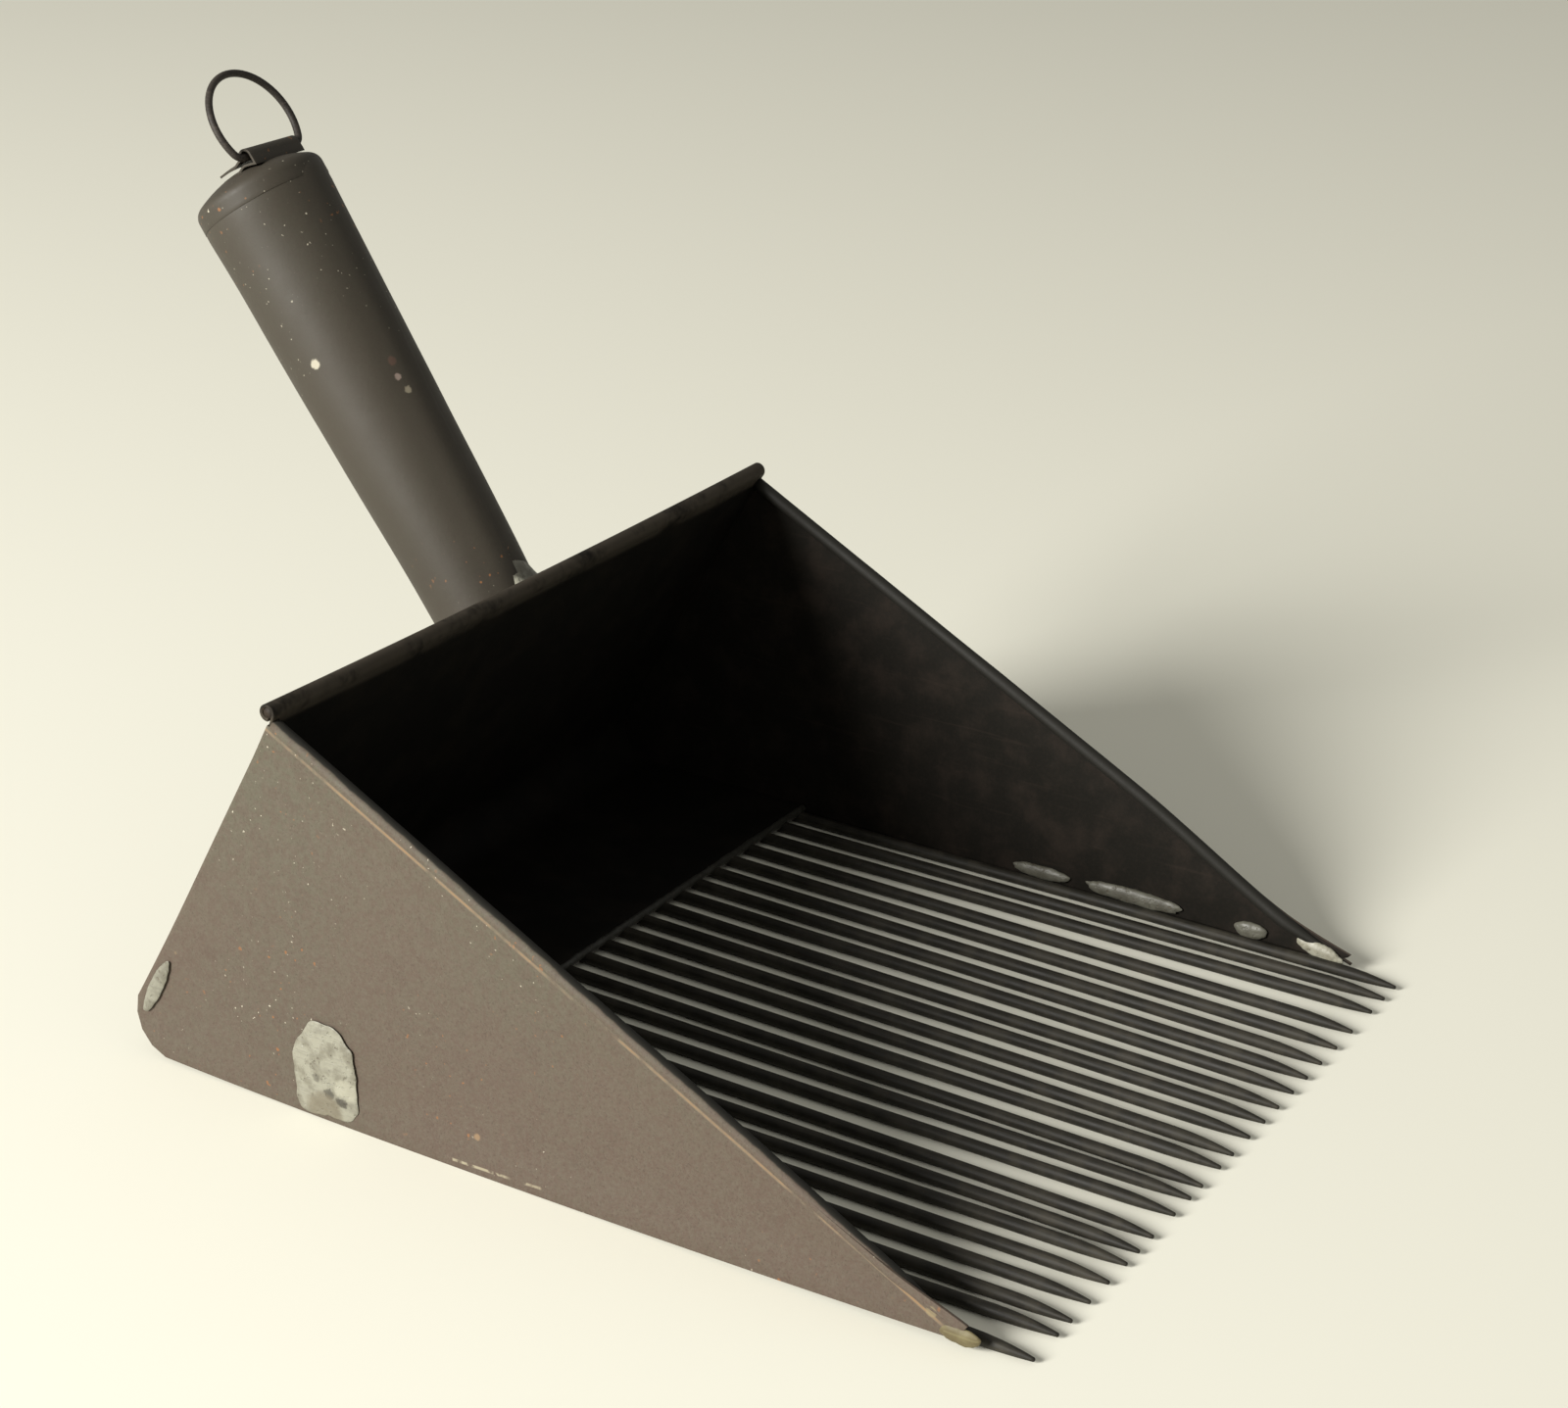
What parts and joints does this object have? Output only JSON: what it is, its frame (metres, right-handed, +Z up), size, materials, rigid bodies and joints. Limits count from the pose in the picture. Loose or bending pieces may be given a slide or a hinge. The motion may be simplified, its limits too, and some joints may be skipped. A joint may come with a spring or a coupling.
{
  "type": "berry scoop",
  "caption": "Tinned sheet-metal berry scoop with a comb of wire tines, sloping side plates, a leaning back, a tapered tube handle and a hanging ring",
  "frame": {"origin": "on the table, under the middle of the scoop's box", "axes": "+Z up, the tines point along -Y, the handle rises towards +Y, +X across the tines"},
  "size_m": [0.2018, 0.285, 0.2055],
  "materials": {
    "tinned_sheet": "aged tinned sheet, mottled grey-brown, satin with rust freckles",
    "handle_tin": "aged tinned sheet, warm grey, satin, chipped and scratched",
    "strap_tin": "aged tinned strip, satin",
    "tine_wire": "dark bare steel wire, dull, drawn lengthwise",
    "edge_wire": "dark steel wire, rusted at its ends",
    "ring_wire": "grey steel wire, worn smooth",
    "solder": "dull grey-white solder, wiped and lumpy"
  },
  "bodies": {
    "scoop": {"pan_sheet": "tinned_sheet", "left_side_plate": "tinned_sheet", "right_side_plate": "tinned_sheet", "back_edge_wire": "edge_wire", "left_edge_wire": "edge_wire", "right_edge_wire": "edge_wire", "handle_tube": "handle_tin", "handle_cap": "handle_tin", "hanger_strap": "strap_tin", "handle_foot_solder": "solder", "tine_solder": "solder", "left_heel_solder": "solder", "right_heel_solder": "solder", "left_nose_solder": "solder", "right_nose_solder": "solder", "left_corner_solder": "solder", "right_seam_solder_1": "solder", "right_seam_solder_2": "solder", "right_seam_solder_3": "solder", "tine_01": "tine_wire", "tine_02": "tine_wire", "tine_03": "tine_wire", "tine_04": "tine_wire", "tine_05": "tine_wire", "tine_06": "tine_wire", "tine_07": "tine_wire", "tine_08": "tine_wire", "tine_09": "tine_wire", "tine_10": "tine_wire", "tine_11": "tine_wire", "tine_12": "tine_wire", "tine_13": "tine_wire", "tine_14": "tine_wire", "tine_15": "tine_wire", "tine_16": "tine_wire", "tine_17": "tine_wire", "tine_18": "tine_wire", "tine_19": "tine_wire", "tine_20": "tine_wire", "tine_21": "tine_wire", "tine_22": "tine_wire", "tine_23": "tine_wire", "tine_24": "tine_wire"},
    "ring": {"hanging_ring": "ring_wire"}
  },
  "joints": [
    {"name": "ring_swing", "type": "hinge", "parent": "scoop", "child": "ring", "pos_m": [0, 0.12545, 0.18732], "axis": [1, 0, 0], "range_deg": [-85, 120]}
  ]
}
